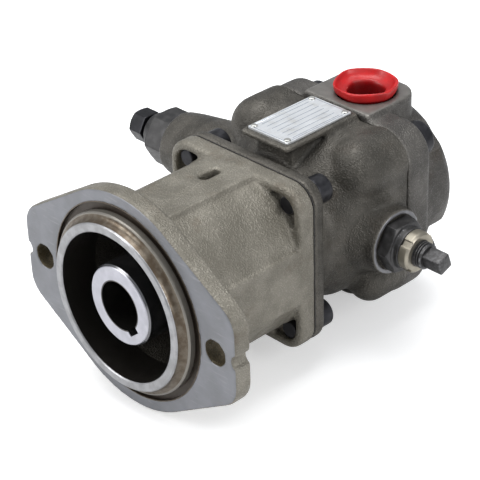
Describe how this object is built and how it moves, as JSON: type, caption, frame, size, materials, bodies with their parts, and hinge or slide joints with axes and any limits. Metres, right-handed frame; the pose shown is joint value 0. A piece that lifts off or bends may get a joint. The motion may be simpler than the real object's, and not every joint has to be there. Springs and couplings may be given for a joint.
{
  "type": "hydraulic vane pump",
  "caption": "Variable displacement vane pump behind a keyed coupling adapter with a two hole flange, a stop screw and a pressure screw across it.",
  "frame": {"origin": "centre of the spigot on the mounting face", "axes": "+Y runs back along the shaft, +X is the stop screw side along the line of the flange holes, +Z is the nameplate and inlet side"},
  "size_m": [0.1949, 0.1733, 0.1025],
  "materials": {
    "grey_casting": "bare warm grey casting with a fine sand texture",
    "dark_casting": "dark oiled grey casting",
    "cover_casting": "dark oiled grey casting",
    "gasket": "black sheet gasket",
    "black_screws": "black oxide",
    "plate": "bare satin plate",
    "pins": "bright",
    "red_plastic": "moulded red plastic",
    "hub_steel": "turned and ground",
    "ground_steel": "ground",
    "vane_steel": "ground",
    "bronze": "machined bronze",
    "bearing_steel": "polished",
    "seal_rubber": "black rubber",
    "dark_fitting": "dark phosphate",
    "black_cap": "black",
    "pale_nut": "dull zinc",
    "spring_steel": "oiled spring wire"
  },
  "bodies": {
    "housing": {"adapter_housing": "grey_casting", "joint_gasket": "gasket", "pump_body": "dark_casting", "valve_cover": "cover_casting", "adapter_screws": "black_screws", "cover_screws": "black_screws", "nameplate": "plate", "nameplate_pins": "pins", "front_port_plate": "bronze", "rear_port_plate": "bronze", "front_bearing_outer_race": "bearing_steel", "shaft_seal": "seal_rubber", "seal_circlip": "black_screws", "rear_bush": "bronze", "stop_plug": "dark_fitting", "spring_plug": "dark_fitting"},
    "shaft": {"drive_shaft": "ground_steel", "shaft_key": "ground_steel", "vane_rotor": "ground_steel", "coupling_hub": "hub_steel", "hub_set_screw": "black_screws", "front_bearing_inner_race": "bearing_steel"},
    "ball_set": {"front_bearing_balls": "bearing_steel", "front_bearing_cage": "bronze"},
    "cam_ring": {"cam_ring": "ground_steel"},
    "spring_pusher": {"inner_spring_seat": "ground_steel"},
    "stop_pad": {"stop_pad": "ground_steel"},
    "stop_screw": {"stop_screw": "dark_fitting"},
    "stop_locknut": {"stop_locknut": "pale_nut"},
    "spring_backing": {"outer_spring_seat": "ground_steel", "pressure_spring": "spring_steel"},
    "pressure_screw": {"pressure_screw": "black_cap"},
    "spring_locknut": {"spring_locknut": "dark_fitting"},
    "inlet_plug": {"inlet_plug": "red_plastic"},
    "vane_01": {"vane_01": "vane_steel"},
    "vane_02": {"vane_02": "vane_steel"},
    "vane_03": {"vane_03": "vane_steel"},
    "vane_04": {"vane_04": "vane_steel"},
    "vane_05": {"vane_05": "vane_steel"},
    "vane_06": {"vane_06": "vane_steel"},
    "vane_07": {"vane_07": "vane_steel"},
    "vane_08": {"vane_08": "vane_steel"},
    "vane_09": {"vane_09": "vane_steel"},
    "vane_10": {"vane_10": "vane_steel"},
    "vane_11": {"vane_11": "vane_steel"}
  },
  "joints": [
    {"name": "shaft_spin", "type": "hinge", "parent": "housing", "child": "shaft", "pos_m": [0, 0, 0], "axis": [0, 1, 0], "continuous": true},
    {"name": "bearing_ball_orbit", "type": "hinge", "parent": "housing", "child": "ball_set", "pos_m": [0, 0, 0], "axis": [0, 1, 0], "continuous": true},
    {"name": "cam_ring_shift", "type": "slide", "parent": "housing", "child": "cam_ring", "axis": [1, 0, 0], "range_m": [-0.002, 0], "deforming": ["pressure_spring"]},
    {"name": "spring_pusher_shift", "type": "slide", "parent": "housing", "child": "spring_pusher", "axis": [1, 0, 0], "range_m": [-0.002, 0]},
    {"name": "stop_screw_turn", "type": "hinge", "parent": "stop_pad", "child": "stop_screw", "pos_m": [0.05, 0.112, 0], "axis": [1, 0, 0], "range_deg": [0, 360]},
    {"name": "stop_pad_shift", "type": "slide", "parent": "housing", "child": "stop_pad", "axis": [1, 0, 0], "range_m": [0, 0.00175]},
    {"name": "stop_locknut_turn", "type": "hinge", "parent": "housing", "child": "stop_locknut", "pos_m": [0.06, 0.112, 0], "axis": [1, 0, 0], "range_deg": [0, 120]},
    {"name": "pressure_screw_turn", "type": "hinge", "parent": "spring_backing", "child": "pressure_screw", "pos_m": [-0.1, 0.112, 0], "axis": [1, 0, 0], "range_deg": [-360, 360]},
    {"name": "spring_backing_shift", "type": "slide", "parent": "housing", "child": "spring_backing", "axis": [1, 0, 0], "range_m": [-0.0015, 0.0015]},
    {"name": "spring_locknut_turn", "type": "hinge", "parent": "housing", "child": "spring_locknut", "pos_m": [-0.103, 0.112, 0], "axis": [1, 0, 0], "range_deg": [0, 120]},
    {"name": "inlet_plug_lift", "type": "slide", "parent": "housing", "child": "inlet_plug", "axis": [0, 0, 1], "range_m": [0, 0.03]},
    {"name": "vane_01_slide", "type": "slide", "parent": "shaft", "child": "vane_01", "axis": [1, 0, 0], "range_m": [0, 0.0004]},
    {"name": "vane_02_slide", "type": "slide", "parent": "shaft", "child": "vane_02", "axis": [0.8413, 0, 0.5406], "range_m": [0, 0.0004]},
    {"name": "vane_03_slide", "type": "slide", "parent": "shaft", "child": "vane_03", "axis": [0.4154, 0, 0.9096], "range_m": [0, 0.0004]},
    {"name": "vane_04_slide", "type": "slide", "parent": "shaft", "child": "vane_04", "axis": [-0.1423, 0, 0.9898], "range_m": [0, 0.0004]},
    {"name": "vane_05_slide", "type": "slide", "parent": "shaft", "child": "vane_05", "axis": [-0.6549, 0, 0.7557], "range_m": [0, 0.0004]},
    {"name": "vane_06_slide", "type": "slide", "parent": "shaft", "child": "vane_06", "axis": [-0.9595, 0, 0.2817], "range_m": [0, 0.0004]},
    {"name": "vane_07_slide", "type": "slide", "parent": "shaft", "child": "vane_07", "axis": [-0.9595, 0, -0.2817], "range_m": [0, 0.0004]},
    {"name": "vane_08_slide", "type": "slide", "parent": "shaft", "child": "vane_08", "axis": [-0.6549, 0, -0.7557], "range_m": [0, 0.0004]},
    {"name": "vane_09_slide", "type": "slide", "parent": "shaft", "child": "vane_09", "axis": [-0.1423, 0, -0.9898], "range_m": [0, 0.0004]},
    {"name": "vane_10_slide", "type": "slide", "parent": "shaft", "child": "vane_10", "axis": [0.4154, 0, -0.9096], "range_m": [0, 0.0004]},
    {"name": "vane_11_slide", "type": "slide", "parent": "shaft", "child": "vane_11", "axis": [0.8413, 0, -0.5406], "range_m": [0, 0.0004]}
  ],
  "couplings": [
    {"joint": "bearing_ball_orbit", "follows": "shaft_spin", "ratio": 0.4},
    {"joint": "spring_pusher_shift", "follows": "cam_ring_shift", "ratio": 1},
    {"joint": "stop_screw_turn", "follows": "stop_pad_shift", "rad_per_m": 3590.4},
    {"joint": "pressure_screw_turn", "follows": "spring_backing_shift", "rad_per_m": 4188.8},
    {"joint": "vane_02_slide", "follows": "vane_01_slide", "ratio": 1},
    {"joint": "vane_03_slide", "follows": "vane_01_slide", "ratio": 1},
    {"joint": "vane_04_slide", "follows": "vane_01_slide", "ratio": 1},
    {"joint": "vane_05_slide", "follows": "vane_01_slide", "ratio": 1},
    {"joint": "vane_06_slide", "follows": "vane_01_slide", "ratio": 1},
    {"joint": "vane_07_slide", "follows": "vane_01_slide", "ratio": 1},
    {"joint": "vane_08_slide", "follows": "vane_01_slide", "ratio": 1},
    {"joint": "vane_09_slide", "follows": "vane_01_slide", "ratio": 1},
    {"joint": "vane_10_slide", "follows": "vane_01_slide", "ratio": 1},
    {"joint": "vane_11_slide", "follows": "vane_01_slide", "ratio": 1}
  ]
}
